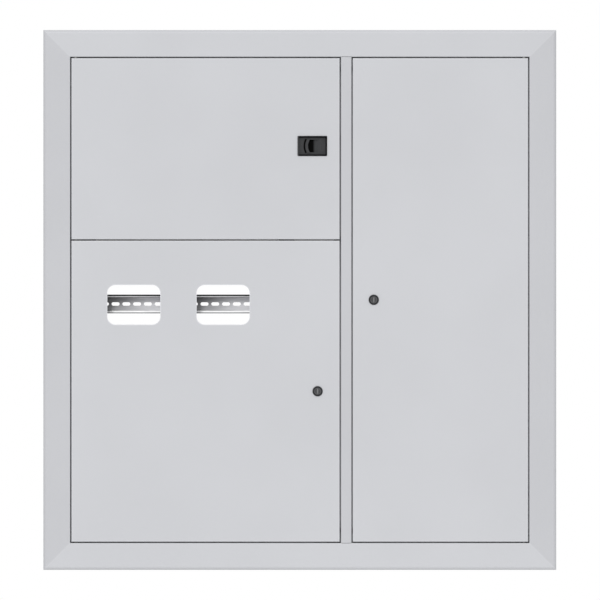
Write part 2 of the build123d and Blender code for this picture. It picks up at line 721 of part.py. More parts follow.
# Upright screws: heads inside on the feet, tails through the sheet below or above
up = Plane.XY
down = Plane(origin=(0, 0, 0), x_dir=(1, 0, 0), z_dir=(0, 0, -1))
with BuildPart() as upright_screws:
    for x in METER_FEET:
        add(screw(at(up.offset(LOWER_FOOT + UPRIGHT_SHEET), x, FOOT_Y), FOOT_SCREW_TAIL))
        add(screw(at(down.offset(-SHELF_UNDER + UPRIGHT_SHEET), x, -FOOT_Y), FOOT_SCREW_TAIL))
    for x in BREAKER_FEET:
        add(screw(at(up.offset(SHELF_Z + UPRIGHT_SHEET), x, FOOT_Y), FOOT_SCREW_TAIL))
        add(screw(at(down.offset(-CASING_TOP_INSIDE + UPRIGHT_SHEET), x, -FOOT_Y), FOOT_SCREW_TAIL))
save(upright_screws, "upright_screws")


# Neutral bar on insulating blocks, earth bar on metal ones


def bar_blocks(x, width):
    """The two blocks that hold a bar off the wall, from x over the given width."""
    with BuildPart() as blocks:
        with BuildSketch(facing(-DEPTH + BAR_SETBACK - (BLOCK_DEPTH - BAR_DEPTH) / 2)):
            for end in (-1, 1):
                with Locations((x + width / 2, BAR_Z + end * (BAR_LENGTH - BLOCK_HEIGHT) / 2)):
                    Rectangle(abs(width), BLOCK_HEIGHT)
        extrude(amount=-BLOCK_DEPTH)
    return blocks


def terminal_bar(x):
    """A drilled bar whose near side stands at x, with its ways across and screw holes in front."""
    count = int((BAR_LENGTH - 2 * BLOCK_HEIGHT) / BAR_WAY_PITCH) + 1
    start = BAR_Z - (count - 1) * BAR_WAY_PITCH / 2
    ways = [start + step * BAR_WAY_PITCH for step in range(count)]
    with BuildPart() as bar:
        with BuildSketch(facing(BAR_FRONT)):
            with Locations((x, BAR_Z)):
                Rectangle(BAR_WIDTH, BAR_LENGTH, align=(Align.MIN, Align.CENTER))
        extrude(amount=-BAR_DEPTH)
        with BuildSketch(Plane.YZ.offset(x)):
            with Locations(*[(BAR_FRONT + BAR_DEPTH / 2, z) for z in ways]):
                small_round(BAR_WAY_RADIUS)
        extrude(amount=BAR_WIDTH, mode=Mode.SUBTRACT)
        with BuildSketch(facing(BAR_FRONT)):
            with Locations(*[(x + BAR_WIDTH / 2, z) for z in ways]):
                small_round(BAR_SCREW_SHANK + SCREW_FIT / 2)
        extrude(amount=-BAR_DEPTH / 2, mode=Mode.SUBTRACT)
    return bar, ways


BAR_Z = SPLIT_Z + BAR_RISE - BLOCK_HEIGHT
BAR_FRONT = -DEPTH + BAR_SETBACK
neutral_x = -CASING_INSIDE + BAR_STANDOFF
earth_x = PARTITION_LEFT - BAR_STANDOFF - BAR_WIDTH
neutral_bar, bar_ways = terminal_bar(neutral_x)
save(neutral_bar, "neutral_bar")
earth_bar, bar_ways = terminal_bar(earth_x)
save(earth_bar, "earth_bar")
save(bar_blocks(-CASING_INSIDE, BAR_STANDOFF), "neutral_bar_insulators")
save(bar_blocks(PARTITION_LEFT - BAR_STANDOFF, BAR_STANDOFF), "earth_bar_blocks")

bar_face = facing(BAR_FRONT)
bar_screw_points = [(x + BAR_WIDTH / 2, z) for x in (neutral_x, earth_x) for z in bar_ways]
with BuildPart() as bar_terminal_screws:
    with BuildSketch(bar_face):
        with Locations(*bar_screw_points):
            small_round(BAR_SCREW_RADIUS)
    extrude(amount=BAR_SCREW_HEAD)
    with BuildSketch(bar_face):
        with Locations(*bar_screw_points):
            small_round(BAR_SCREW_SHANK)
    extrude(amount=-BAR_DEPTH / 2)
save(bar_terminal_screws, "bar_terminal_screws")


# Low-current compartment: two drilled straps from the partition to the right wall


def strap(z):
    """A strap with its end tabs folded back against the two walls."""
    line = [
        (PARTITION_RIGHT, -STRAP_SEAT + STRAP_TAB),
        (PARTITION_RIGHT, -STRAP_SEAT),
        (CASING_INSIDE, -STRAP_SEAT),
        (CASING_INSIDE, -STRAP_SEAT + STRAP_TAB),
    ]
    plane = Plane.XY.offset(z - STRAP_HEIGHT / 2)
    bar = folded(plane, line, UPRIGHT_BEND, STRAP_SHEET, STRAP_HEIGHT)
    middle = (PARTITION_RIGHT + CASING_INSIDE) / 2
    count = int((CASING_INSIDE - PARTITION_RIGHT) / STRAP_HOLE_PITCH) - 1
    with BuildPart() as piece:
        add(bar)
        with BuildSketch(facing(-STRAP_SEAT)):
            with Locations((middle, z)):
                with GridLocations(STRAP_HOLE_PITCH, 1, count, 1):
                    small_round(STRAP_HOLE_RADIUS)
        extrude(amount=-2 * STRAP_SHEET, mode=Mode.SUBTRACT)
    return piece


for name, z in zip(("low_current_strap_lower", "low_current_strap_upper"), STRAP_RISES):
    save(strap(z), name)


# Doors: shallow folded trays


def door_tray(left, right, bottom, top):
    """A door tray open to the back, with its edges folded round."""
    with BuildPart() as tray:
        with BuildSketch(facing(FRONT)):
            with Locations(((left + right) / 2, (bottom + top) / 2)):
                Rectangle(right - left, top - bottom)
        extrude(amount=-DOOR_RETURN)
        fillet(tray.faces().sort_by(Axis.Y)[0].edges(), DOOR_BEND)
        offset(amount=-DOOR_SHEET, openings=tray.faces().sort_by(Axis.Y)[-1])
    return tray.part


def pin_holes(x, heights):
    """Cut the running holes for the hinge pins in a door's top and bottom returns."""
    for z in heights:
        with BuildSketch(Plane.XY.offset(z)) as hole:
            with Locations((x, PIN_Y)):
                Circle(PIN_RADIUS + PIN_FIT)
        extrude(hole.sketch, amount=2 * DOOR_SHEET, both=True, mode=Mode.SUBTRACT)


def earth_stud(x, z):
    """Add a door's welded earthing stud."""
    with BuildSketch(facing(DOOR_INSIDE)) as stud:
        with Locations((x, z)):
            small_round(STUD_RADIUS)
    extrude(stud.sketch, amount=-STUD_LENGTH)


def lock_hole(x, z):
    """Cut the double-flat hole of a lock."""
    with BuildSketch(facing(FRONT)) as hole:
        with Locations((x, z)):
            Circle(LOCK_BARREL_RADIUS + PIN_FIT)
            Rectangle(4 * LOCK_BARREL_RADIUS, LOCK_FLAT + 2 * PIN_FIT, mode=Mode.INTERSECT)
    extrude(hole.sketch, amount=-2 * DOOR_SHEET, mode=Mode.SUBTRACT)


CUTOUT_WIDTH = LATCH_WIDTH - 2 * LATCH_SKIRT
CUTOUT_HEIGHT = LATCH_HEIGHT - 2 * LATCH_SKIRT
HOUSING_STUD_Z = CUTOUT_HEIGHT / 2 + HOUSING_WALL + HOUSING_EAR / 2 + CLEARANCE
upper_tray = door_tray(LEFT_DOOR_LEFT, LEFT_DOOR_RIGHT, UPPER_DOOR_BOTTOM, DOOR_TOP)
with BuildPart() as upper_left_door:
    add(upper_tray)
    pin_holes(LEFT_PIN_X, (UPPER_DOOR_BOTTOM, DOOR_TOP))
    earth_stud(LEFT_PIN_X + DOOR_STUD_INSET, UPPER_DOOR_BOTTOM + DOOR_STUD_RISE)
    with BuildSketch(facing(FRONT)):
        with Locations((LATCH_X, LATCH_Z)):
            Rectangle(CUTOUT_WIDTH, CUTOUT_HEIGHT)
    extrude(amount=-2 * DOOR_SHEET, mode=Mode.SUBTRACT)
    with BuildSketch(facing(DOOR_INSIDE)):
        with Locations((LATCH_X, LATCH_Z + HOUSING_STUD_Z), (LATCH_X, LATCH_Z - HOUSING_STUD_Z)):
            small_round(SCREW_RADIUS - SCREW_FIT)
    extrude(amount=-SCREW_TAIL)
save(upper_left_door, "upper_left_door")

lower_tray = door_tray(LEFT_DOOR_LEFT, LEFT_DOOR_RIGHT, DOOR_BOTTOM, LOWER_DOOR_TOP)
with BuildPart() as lower_left_door:
    add(lower_tray)
    pin_holes(LEFT_PIN_X, (DOOR_BOTTOM, LOWER_DOOR_TOP))
    earth_stud(LEFT_PIN_X + DOOR_STUD_INSET, DOOR_BOTTOM + DOOR_STUD_RISE)
    lock_hole(*LOWER_LOCK)
    with BuildSketch(facing(FRONT)):
        with Locations(*[(x, WINDOW_Z) for x in WINDOW_XS]):
            RectangleRounded(WINDOW_WIDTH, WINDOW_HEIGHT, WINDOW_RADIUS)
    extrude(amount=-2 * DOOR_SHEET, mode=Mode.SUBTRACT)
save(lower_left_door, "lower_left_door")

right_tray = door_tray(RIGHT_DOOR_LEFT, RIGHT_DOOR_RIGHT, DOOR_BOTTOM, DOOR_TOP)
with BuildPart() as right_door:
    add(right_tray)
    pin_holes(RIGHT_PIN_X, (DOOR_BOTTOM, DOOR_TOP))
    earth_stud(RIGHT_PIN_X - DOOR_STUD_INSET, DOOR_BOTTOM + DOOR_STUD_RISE)
    lock_hole(*RIGHT_LOCK)
save(right_door, "right_door")


# Hinge pins: a head behind the frame's return, a collar in the gap and a shank in the door


def hinge_pin(x, edge, sign):
    """A pin through the frame's return at height edge, pointing into the opening."""
    inward = Vector(0, 0, -sign)
    head_plane = Plane(origin=(x, PIN_Y, edge + sign * FRAME_SHEET), z_dir=-inward)
    gap_plane = Plane(origin=(x, PIN_Y, edge), z_dir=inward)
    with BuildPart() as pin:
        with BuildSketch(head_plane):
            small_round(PIN_HEAD_RADIUS)
        extrude(amount=PIN_HEAD)
        with BuildSketch(head_plane):
            Circle(PIN_RADIUS)
        extrude(amount=-(FRAME_SHEET + DOOR_GAP + PIN_REACH))
        with BuildSketch(gap_plane):
            small_round(PIN_COLLAR_RADIUS)
        extrude(amount=DOOR_GAP - CLEARANCE)
    return pin.part


with BuildPart() as door_hinge_pins:
    for x in PIN_XS:
        add(hinge_pin(x, TOP_EDGE, 1))
        add(hinge_pin(x, BOTTOM_EDGE, -1))
save(door_hinge_pins, "door_hinge_pins")

with BuildPart() as middle_hinge_pin:
    with BuildSketch(Plane.XY.offset(SPLIT_Z)):
        with Locations((LEFT_PIN_X, PIN_Y)):
            Circle(PIN_RADIUS)
    extrude(amount=DOOR_GAP / 2 + PIN_REACH, both=True)
save(middle_hinge_pin, "middle_hinge_pin")

# Earthing nuts and washers


def earth_fastening(plane):
    """A washer and a nut on an earthing stud that stands on the plane."""
    with BuildPart() as fastening:
        with BuildSketch(plane):
            Circle(STUD_WASHER_RADIUS)
            small_round(STUD_RADIUS + PIN_FIT, mode=Mode.SUBTRACT)
        extrude(amount=STUD_WASHER)
        add(nut(plane.offset(STUD_WASHER), STUD_NUT_WIDTH, STUD_NUT_HEIGHT, STUD_RADIUS + PIN_FIT))
    return fastening


door_back_plane = Plane(origin=(0, DOOR_INSIDE, 0), x_dir=(-1, 0, 0), z_dir=(0, 1, 0))
EARTH_STUDS = {
    "upper_left_door_earth_nut": (LEFT_PIN_X + DOOR_STUD_INSET, UPPER_DOOR_BOTTOM + DOOR_STUD_RISE),
    "lower_left_door_earth_nut": (LEFT_PIN_X + DOOR_STUD_INSET, DOOR_BOTTOM + DOOR_STUD_RISE),
    "right_door_earth_nut": (RIGHT_PIN_X - DOOR_STUD_INSET, DOOR_BOTTOM + DOOR_STUD_RISE),
}
for name, (x, z) in EARTH_STUDS.items():
    save(earth_fastening(at(door_back_plane, -x, z)), name)
casing_stud_plane = at(Plane.YZ.offset(-CASING_INSIDE), FRONT + CASING_STUD_SETBACK, -FIXING_RISE)
save(earth_fastening(casing_stud_plane), "casing_earth_nut")

# Rubber buffers on the mullion's lips, under the free corners of the doors
BUFFER_LEFT_X = MULLION_LEFT - MULLION_LIP + BUFFER_RADIUS
BUFFER_RIGHT_X = MULLION_RIGHT + MULLION_LIP - BUFFER_RADIUS
buffer_points = [
    (BUFFER_LEFT_X, DOOR_TOP - BUFFER_INSET),
    (BUFFER_LEFT_X, SPLIT_Z),
    (BUFFER_LEFT_X, DOOR_BOTTOM + BUFFER_INSET),
    (BUFFER_RIGHT_X, DOOR_TOP - BUFFER_INSET),
    (BUFFER_RIGHT_X, DOOR_BOTTOM + BUFFER_INSET),
]
with BuildPart() as door_buffers:
    with BuildSketch(facing(WALL)):
        with Locations(*buffer_points):
            small_round(BUFFER_RADIUS)
    extrude(amount=FLANGE_DEPTH - DOOR_RETURN - CLEARANCE)
save(door_buffers, "door_buffers")


# Quarter-turn locks


def lock_body(x, z):
    """Head with a well, and a barrel with two flats."""
    with BuildPart() as body:
        with BuildSketch(at(facing(FRONT), x, z)):
            Circle(LOCK_HEAD_RADIUS)
        extrude(amount=LOCK_HEAD)
        rim = body.faces().sort_by(Axis.Y)[0].edges()
        chamfer(rim, LOCK_HEAD_CHAMFER)
        with BuildSketch(at(facing(FRONT - LOCK_HEAD), x, z)):
            Circle(LOCK_WELL_RADIUS)
        extrude(amount=-LOCK_WELL, mode=Mode.SUBTRACT)
        with BuildSketch(at(facing(FRONT), x, z)):
            Circle(LOCK_BARREL_RADIUS)
            Rectangle(4 * LOCK_BARREL_RADIUS, LOCK_FLAT, mode=Mode.INTERSECT)
        extrude(amount=-LOCK_LENGTH)
        with BuildSketch(at(facing(FRONT - LOCK_HEAD), x, z)):
            Circle(CORE_RADIUS + PIN_FIT)
        extrude(amount=-LOCK_LENGTH - LOCK_HEAD, mode=Mode.SUBTRACT)
    return body


def lock_core(x, z):
    """Turning core: a bit for the key in front, a square tail for the cam behind."""
    core_front = FRONT - LOCK_HEAD + LOCK_WELL
    tail_end = CAM_FRONT + CAM_SHEET
    with BuildPart() as core:
        with BuildSketch(at(facing(core_front), x, z)):
            Circle(CORE_RADIUS)
        extrude(amount=-(CAM_FRONT - core_front))
        with BuildSketch(at(facing(core_front), x, z)):
            SlotOverall(BIT_LENGTH, BIT_WIDTH, rotation=90)
        extrude(amount=BIT_HEIGHT)
        with BuildSketch(at(facing(CAM_FRONT), x, z)):
            Rectangle(CORE_TAIL_WIDTH, CORE_TAIL_WIDTH)
        extrude(amount=-(tail_end - CAM_FRONT))
        with BuildSketch(at(facing(tail_end), x, z)):
            small_round(CAM_SCREW_SHANK + SCREW_FIT / 2)
        extrude(amount=CAM_SCREW_TAIL, mode=Mode.SUBTRACT)
    return core


def lock_cam(x, z):
    """Cam hanging down from the core's tail."""
    with BuildPart() as cam:
        with BuildSketch(at(facing(CAM_FRONT), x, z)):
            Circle(CAM_WIDTH / 2)
            Rectangle(CAM_WIDTH, CAM_REACH, align=(Align.CENTER, Align.MAX))
            Rectangle(CORE_TAIL_WIDTH, CORE_TAIL_WIDTH, mode=Mode.SUBTRACT)
        extrude(amount=-CAM_SHEET)
        tip = cam.edges().filter_by(Axis.Y).group_by(Axis.Z)[0]
        fillet(tip, CAM_WIDTH / 4)
    return cam


CAM_FRONT = LIP_BACK + CLEARANCE
LOCKS = {"lower": LOWER_LOCK, "right": RIGHT_LOCK}
for name, (x, z) in LOCKS.items():
    save(lock_body(x, z), f"{name}_lock_body")
    lock_nut_plane = at(door_back_plane, -x, z)
    with BuildPart() as lock_nut:
        lock_nut_hole = LOCK_BARREL_RADIUS + PIN_FIT
        add(nut(lock_nut_plane, LOCK_NUT_WIDTH, LOCK_NUT_HEIGHT, lock_nut_hole, Circle))
    save(lock_nut, f"{name}_lock_nut")
    save(lock_core(x, z), f"{name}_lock_core")
    save(lock_cam(x, z), f"{name}_lock_cam")
    cam_back = Plane(origin=(x, CAM_FRONT + CAM_SHEET, z), x_dir=(-1, 0, 0), z_dir=(0, 1, 0))
    with BuildPart() as cam_screw:
        with BuildSketch(cam_back):
            Circle(CAM_SCREW_RADIUS)
        extrude(amount=CAM_SCREW_HEAD)
        chamfer(cam_screw.faces().sort_by(Axis.Y)[-1].edges(), CAM_SCREW_HEAD / 4)
        with BuildSketch(cam_back):
            small_round(CAM_SCREW_SHANK)
        extrude(amount=-CAM_SCREW_TAIL)
    save(cam_screw, f"{name}_lock_cam_screw")

# Slide latch: bezel in front, housing behind, slider between them, and a steel bolt

SIGHT_WIDTH = LATCH_WIDTH - 2 * LATCH_RIM
SIGHT_HEIGHT = LATCH_HEIGHT - 2 * LATCH_RIM
with BuildPart() as latch_bezel:
    with BuildSketch(at(facing(FRONT), LATCH_X, LATCH_Z)):
        RectangleRounded(LATCH_WIDTH, LATCH_HEIGHT, LATCH_CORNER)
    extrude(amount=LATCH_PROUD)
    chamfer(latch_bezel.faces().sort_by(Axis.Y)[0].edges(), LATCH_CHAMFER)
    with BuildSketch(at(facing(FRONT), LATCH_X, LATCH_Z)):
        Rectangle(CUTOUT_WIDTH - CLEARANCE, CUTOUT_HEIGHT - CLEARANCE)
    extrude(amount=-DOOR_SHEET)
    with BuildSketch(at(facing(FRONT - LATCH_PROUD), LATCH_X, LATCH_Z)):
        Rectangle(SIGHT_WIDTH, SIGHT_HEIGHT)
    extrude(amount=-LATCH_PROUD - DOOR_SHEET, mode=Mode.SUBTRACT)
save(latch_bezel, "latch_bezel")

SLIDER_FRONT = DOOR_INSIDE + RIB_HEIGHT + CLEARANCE
SLIDER_LENGTH = SIGHT_WIDTH + LATCH_TRAVEL + 2 * SLIDER_RAIL
SLIDER_X = LATCH_X - LATCH_TRAVEL / 2
SLIDER_HEIGHT = CUTOUT_HEIGHT - 4 * CLEARANCE
CUP_BACK = SLIDER_FRONT + CUP_DEPTH
CUP_X = LATCH_X + CUP_OFFSET
CUP_LEFT = CUP_X - CUP_REACH
CUP_RIGHT = CUP_X + CUP_REACH
ARC_X = CUP_LEFT - CRESCENT_THICK + CRESCENT_RADIUS
LEG_BACK = LIP_BACK + CLEARANCE


def arc_band(outer, inner, height):
    """Sketch the left side of a ring around the arc's centre, cut level at the given height."""
    with Locations((ARC_X, LATCH_Z)):
        Circle(outer)
        Circle(inner, mode=Mode.SUBTRACT)
    with Locations((ARC_X - CRESCENT_RADIUS, LATCH_Z)):
        Rectangle(CRESCENT_RADIUS, height, mode=Mode.INTERSECT)


with BuildPart() as latch_slider:
    with BuildSketch(at(facing(SLIDER_FRONT), SLIDER_X, LATCH_Z)):
        Rectangle(SLIDER_LENGTH, SLIDER_HEIGHT)
    extrude(amount=-SLIDER_PLATE)
    # Finger cup: deep beside the crescent, running out to the right
    with BuildSketch(at(facing(SLIDER_FRONT), CUP_X, LATCH_Z)):
        RectangleRounded(2 * CUP_REACH, CUP_HEIGHT, CUP_CORNER)
    extrude(amount=-CUP_DEPTH - SLIDER_SKIN)
    with BuildSketch(Plane.XY.offset(LATCH_Z)):
        with BuildLine():
            Polyline((CUP_RIGHT, SLIDER_FRONT), (CUP_LEFT, SLIDER_FRONT), (CUP_LEFT, CUP_BACK))
            Spline(
                (CUP_LEFT, CUP_BACK),
                (CUP_RIGHT, SLIDER_FRONT),
                tangents=[(1, 0), (1, -CUP_RUNOUT)],
            )
        make_face()
    extrude(amount=CUP_HEIGHT / 2 - SLIDER_SKIN, both=True, mode=Mode.SUBTRACT)
    # Crescent that the finger pushes, with a groove on its left
    with BuildSketch(facing(CUP_BACK)):
        arc_band(CRESCENT_RADIUS, CRESCENT_RADIUS - CRESCENT_THICK, CUP_HEIGHT)
    extrude(amount=CUP_DEPTH + LATCH_PROUD)
    with BuildSketch(facing(SLIDER_FRONT)):
        arc_band(CRESCENT_RADIUS + GROOVE_WIDTH, CRESCENT_RADIUS, CUP_HEIGHT)
    extrude(amount=-GROOVE_DEPTH, mode=Mode.SUBTRACT)
    # Grip ribs left and right of the cup
    left_ribs = [LATCH_X - SIGHT_WIDTH / 2 + (0.5 + step) * RIB_PITCH for step in range(RIB_COUNT_LEFT)]
    right_ribs = [LATCH_X + SIGHT_WIDTH / 2 - (0.5 + step) * RIB_PITCH for step in range(RIB_COUNT_RIGHT)]
    with BuildSketch(facing(SLIDER_FRONT)):
        with Locations(*[(x, LATCH_Z) for x in left_ribs + right_ribs]):
            Rectangle(RIB_WIDTH, SIGHT_HEIGHT - 4 * CLEARANCE)
    extrude(amount=RIB_HEIGHT)
    # Leg that carries the bolt
    with BuildSketch(at(facing(CUP_BACK), CUP_X, LATCH_Z)):
        Rectangle(LEG_LENGTH, LEG_WIDTH)
    extrude(amount=-(LEG_BACK - CUP_BACK))
    with BuildSketch(at(facing(LEG_BACK), CUP_X, LATCH_Z)):
        small_round(SCREW_RADIUS + SCREW_FIT / 2)
    extrude(amount=LEG_SCREW_TAIL, mode=Mode.SUBTRACT)
save(latch_slider, "latch_slider")

BOLT_TIP = MULLION_LEFT - MULLION_LIP - BOLT_SETBACK
BOLT_LEFT = CUP_X - LEG_LENGTH / 2
with BuildPart() as latch_bolt:
    with BuildSketch(facing(LEG_BACK)):
        with Locations((BOLT_LEFT, LATCH_Z)):
            Rectangle(BOLT_TIP - BOLT_LEFT, BOLT_WIDTH, align=(Align.MIN, Align.CENTER))
        with Locations((CUP_X, LATCH_Z)):
            small_round(SCREW_RADIUS + SCREW_FIT, mode=Mode.SUBTRACT)
    extrude(amount=-BOLT_SHEET)
    nose = latch_bolt.edges().filter_by(Axis.Y).group_by(Axis.X)[-1]
    chamfer(nose, BOLT_NOSE)
save(latch_bolt, "latch_bolt")

bolt_back = Plane(origin=(CUP_X, LEG_BACK + BOLT_SHEET, LATCH_Z), x_dir=(-1, 0, 0), z_dir=(0, 1, 0))
with BuildPart() as latch_bolt_screw:
    add(screw(bolt_back, BOLT_SHEET + LEG_SCREW_TAIL))
save(latch_bolt_screw, "latch_bolt_screw")

HOUSING_WIDTH = SLIDER_LENGTH + LATCH_TRAVEL + 2 * CLEARANCE
HOUSING_HEIGHT = SLIDER_HEIGHT + 2 * CLEARANCE
HOUSING_FLOOR = CUP_BACK + SLIDER_SKIN + CLEARANCE
HOUSING_BACK = HOUSING_FLOOR + HOUSING_WALL
with BuildPart() as latch_housing:
    with BuildSketch(at(facing(DOOR_INSIDE), LATCH_X, LATCH_Z)):
        Rectangle(HOUSING_WIDTH + 2 * HOUSING_WALL, HOUSING_HEIGHT + 2 * HOUSING_WALL)
    extrude(amount=-(HOUSING_BACK - DOOR_INSIDE))
    with BuildSketch(at(facing(DOOR_INSIDE), LATCH_X, LATCH_Z)):
        Rectangle(HOUSING_WIDTH, HOUSING_HEIGHT)
    extrude(amount=-(HOUSING_FLOOR - DOOR_INSIDE), mode=Mode.SUBTRACT)
    # Ears on the welded studs
    with BuildSketch(at(facing(DOOR_INSIDE), LATCH_X, LATCH_Z)):
        SlotOverall(2 * HOUSING_STUD_Z + HOUSING_EAR, HOUSING_EAR, rotation=90)
        Rectangle(2 * HOUSING_EAR, HOUSING_HEIGHT + HOUSING_WALL, mode=Mode.SUBTRACT)
        with Locations((0, HOUSING_STUD_Z), (0, -HOUSING_STUD_Z)):
            small_round(SCREW_RADIUS, mode=Mode.SUBTRACT)
    extrude(amount=-HOUSING_WALL)
    # Slot that the leg travels in
    with BuildSketch(at(facing(HOUSING_BACK), CUP_X + LATCH_TRAVEL / 2, LATCH_Z)):
        Rectangle(LEG_LENGTH + LATCH_TRAVEL + 2 * CLEARANCE, LEG_WIDTH + 2 * CLEARANCE)
    extrude(amount=2 * HOUSING_WALL, mode=Mode.SUBTRACT)
save(latch_housing, "latch_housing")

ear_back = Plane(origin=(0, DOOR_INSIDE + HOUSING_WALL, 0), x_dir=(-1, 0, 0), z_dir=(0, 1, 0))
with BuildPart() as latch_housing_nuts:
    for side in (1, -1):
        ear = at(ear_back, -LATCH_X, LATCH_Z + side * HOUSING_STUD_Z)
        add(nut(ear, NUT_WIDTH, NUT_HEIGHT, SCREW_RADIUS - SCREW_FIT / 2))
save(latch_housing_nuts, "latch_housing_nuts")
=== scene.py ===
import json
import math

import bmesh
import bpy
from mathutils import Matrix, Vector


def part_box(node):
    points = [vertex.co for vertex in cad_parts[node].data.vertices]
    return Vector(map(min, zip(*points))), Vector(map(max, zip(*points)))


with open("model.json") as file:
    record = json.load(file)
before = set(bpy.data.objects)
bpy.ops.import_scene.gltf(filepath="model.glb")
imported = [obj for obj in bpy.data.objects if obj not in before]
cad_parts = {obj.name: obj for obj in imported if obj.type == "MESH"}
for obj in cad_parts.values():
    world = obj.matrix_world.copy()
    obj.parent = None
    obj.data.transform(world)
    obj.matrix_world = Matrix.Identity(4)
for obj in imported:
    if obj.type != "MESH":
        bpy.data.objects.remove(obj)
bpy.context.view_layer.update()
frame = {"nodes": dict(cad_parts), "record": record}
NODES = frame["nodes"]
X, Y, Z = range(3)

# Places and sizes in metres, in the frame of the model
BOARD_FRONT = -0.14
FLOOR_Z = -1.1
FLOOR_HALF = 4.0
SOFT_EDGE = 0.0005
# Half the height of the pale band painted on the crossbar as painted light
CROSSBAR_LIT_STRIP_HALF = 0.0025
# Below this height the hinge pins get painted shade
PIN_LIGHT_BOTTOM = 0.0

# Meter rails: their middle, half their height, the bands of painted shade and painted highlight at their
# edges, half a window's width
RAIL_MIDDLE_Z = -0.0075
RAIL_HALF = 0.0175
RAIL_FLANGE = 0.005
RAIL_PAINTED_SHADE_BAND = 0.0028
RAIL_EDGE_BAND = 0.0020
RAIL_BLUR = 0.0004
WINDOW_HALF = 0.049

# Latch and locks: where tones start and are full along Y, among them the latch's painted shade, then
# where the last two end along X
CUP_SHALLOW = -0.1341
CUP_DEEP = -0.1326
GROOVE_SHALLOW = -0.1371
GROOVE_DEEP = -0.1363
WELL_FLOOR = -0.1410
CORE_FRONT = -0.1410
BIT_FRONT = -0.1422
GROOVE_RIGHT = 0.016
# Left of this the bezel keeps the latch's black; elsewhere painted shade darkens it
BEZEL_LIT_LEFT = -0.0016

# The photograph's framing in metres: its width, its middle and the camera's distance
VIEW_WIDTH = 1.1111
VIEW_X = 0.0004
VIEW_Z = -0.0001
CAMERA_DISTANCE = 20.0
SENSOR_MILLIMETRES = 36.0

# Light: levels, the key's spread in degrees and where it comes from
SKY_LEVEL = 0.62
SKY_TOP = 1.12
SKY_SIDE = 0.97
KEY_LEVEL = 1.09
KEY_SOFTNESS = 8
KEY_FROM = (-0.10, -1.0, 0.40)

# Colours, linear
DOOR_GREY = (0.623, 0.631, 0.658)
# Stiles and mullion: the doors' grey darkened as painted shade, though it is the same paint
STILE_SHADED_GREY = (0.578, 0.584, 0.610)
CASING_GREY = (0.56, 0.57, 0.59)
# Pale band on the crossbar, seen through the split between the doors: painted light
CROSSBAR_PAINTED_LIGHT = (0.98, 0.98, 0.98)
ZINC = (0.62, 0.63, 0.64)
# Meter rails' tones: painted shade and painted highlight lines along the flanges, painted shade at the
# upper left and painted reflection at the lower right
RAIL_PAINTED_SHADE = (0.01, 0.01, 0.011)
RAIL_PAINTED_HIGHLIGHT = (0.98, 0.98, 0.98)
RAIL_UPPER_LEFT = (0.13, 0.13, 0.135)
RAIL_UPPER_RIGHT = (0.62, 0.62, 0.65)
RAIL_LOWER_LEFT = (0.30, 0.30, 0.31)
RAIL_LOWER_RIGHT = (0.62, 0.62, 0.64)
RAIL_EDGE = (0.24, 0.24, 0.25)
RAIL_STREAK = (0.72, 0.72, 0.72)
FASTENER_ZINC = (0.66, 0.66, 0.64)
BRASS = (0.75, 0.56, 0.26)
INSULATOR_BLUE = (0.10, 0.22, 0.50)
LATCH_BLACK = (0.062, 0.063, 0.066)
# Painted shade in the latch's finger cup and groove
CUP_PAINTED_SHADE = (0.0, 0.0, 0.0)
# The bezel's black: black plastic darkened further as painted shade
BEZEL_SHADED_BLACK = (0.003, 0.003, 0.004)
PIN_GREY = (0.30, 0.30, 0.29)
PIN_SHADE = (0.08, 0.08, 0.08)
# Hinge tab in the split between the doors: painted near black as shade
TAB_SHADED_BLACK = (0.006, 0.006, 0.007)
LOCK_BLACK = (0.014, 0.015, 0.017)
WELL_GREY = (0.11, 0.11, 0.115)
CORE_GREY = (0.05, 0.051, 0.054)
BIT_GREY = (0.17, 0.17, 0.175)
RUBBER = (0.03, 0.03, 0.03)
WHITE = (1.0, 1.0, 1.0)

# Powder coat: widths and depths of its marks in metres, their tones as shares of its colour
COAT_CLOUDS = 0.22
COAT_CLOUD_TONES = (0.985, 1.015)
COAT_CLOUD_STOPS = (0.35, 0.65)
COAT_SPECKLE = 0.0011
COAT_SPECKLE_TONE = 0.80
COAT_SPECKLE_SHARE = 0.10
COAT_EDGE = 0.003
COAT_EDGE_TURN = 0.06
# Painted shade in gaps: the openness where it starts and is full, and its tone
COAT_GAP_OPEN = 0.75
COAT_GAP_CLOSED = 0.3
COAT_GAP_SHADE_TONE = 0.05
COAT_PEEL = 0.0016
COAT_PEEL_DEPTH = 0.00003
COAT_SHEEN = 0.05
COAT_ROUGHNESS = (0.42, 0.52)
COAT_SPECULAR = 0.4

# Zinc, the same way
ROLLING = 0.0012
ROLLING_STRETCH = 0.04
ROLLING_DEPTH = 0.00002
ROLLING_TONES = (0.86, 1.08)
SPANGLE = 0.006
SPANGLE_TONE = 0.80
SPANGLE_SHARE = 0.3
ZINC_EDGE = 0.0008
ZINC_EDGE_TONE = 1.25
ZINC_SMOOTHER = 0.07
ZINC_ROUGHER = 0.08
DEVICE_RAIL_METAL = 0.7
DEVICE_RAIL_ROUGHNESS = (0.3, 0.45)

# Moulded and dark surfaces
SPARK = 0.0006
SPARK_DEPTH = 0.00003
SPARK_TONES = (0.8, 1.2)
SPARK_STOPS = (0.35, 0.7)
MOULDED_EDGE = 0.0007
MOULDED_SHEEN = 0.004
MOULDED_SMOOTHER = 0.06
MOULDED_ROUGHER = 0.08

# Drawn brass
DRAWN = 0.0008
DRAWN_STRETCH = 0.05
DRAWN_DEPTH = 0.00002
DRAWN_TONES = (0.85, 1.1)
DRAWN_ROUGHNESS = (0.24, 0.38)
TARNISH = 0.02
TARNISH_TONE = 0.65
TARNISH_SHARE = 0.35

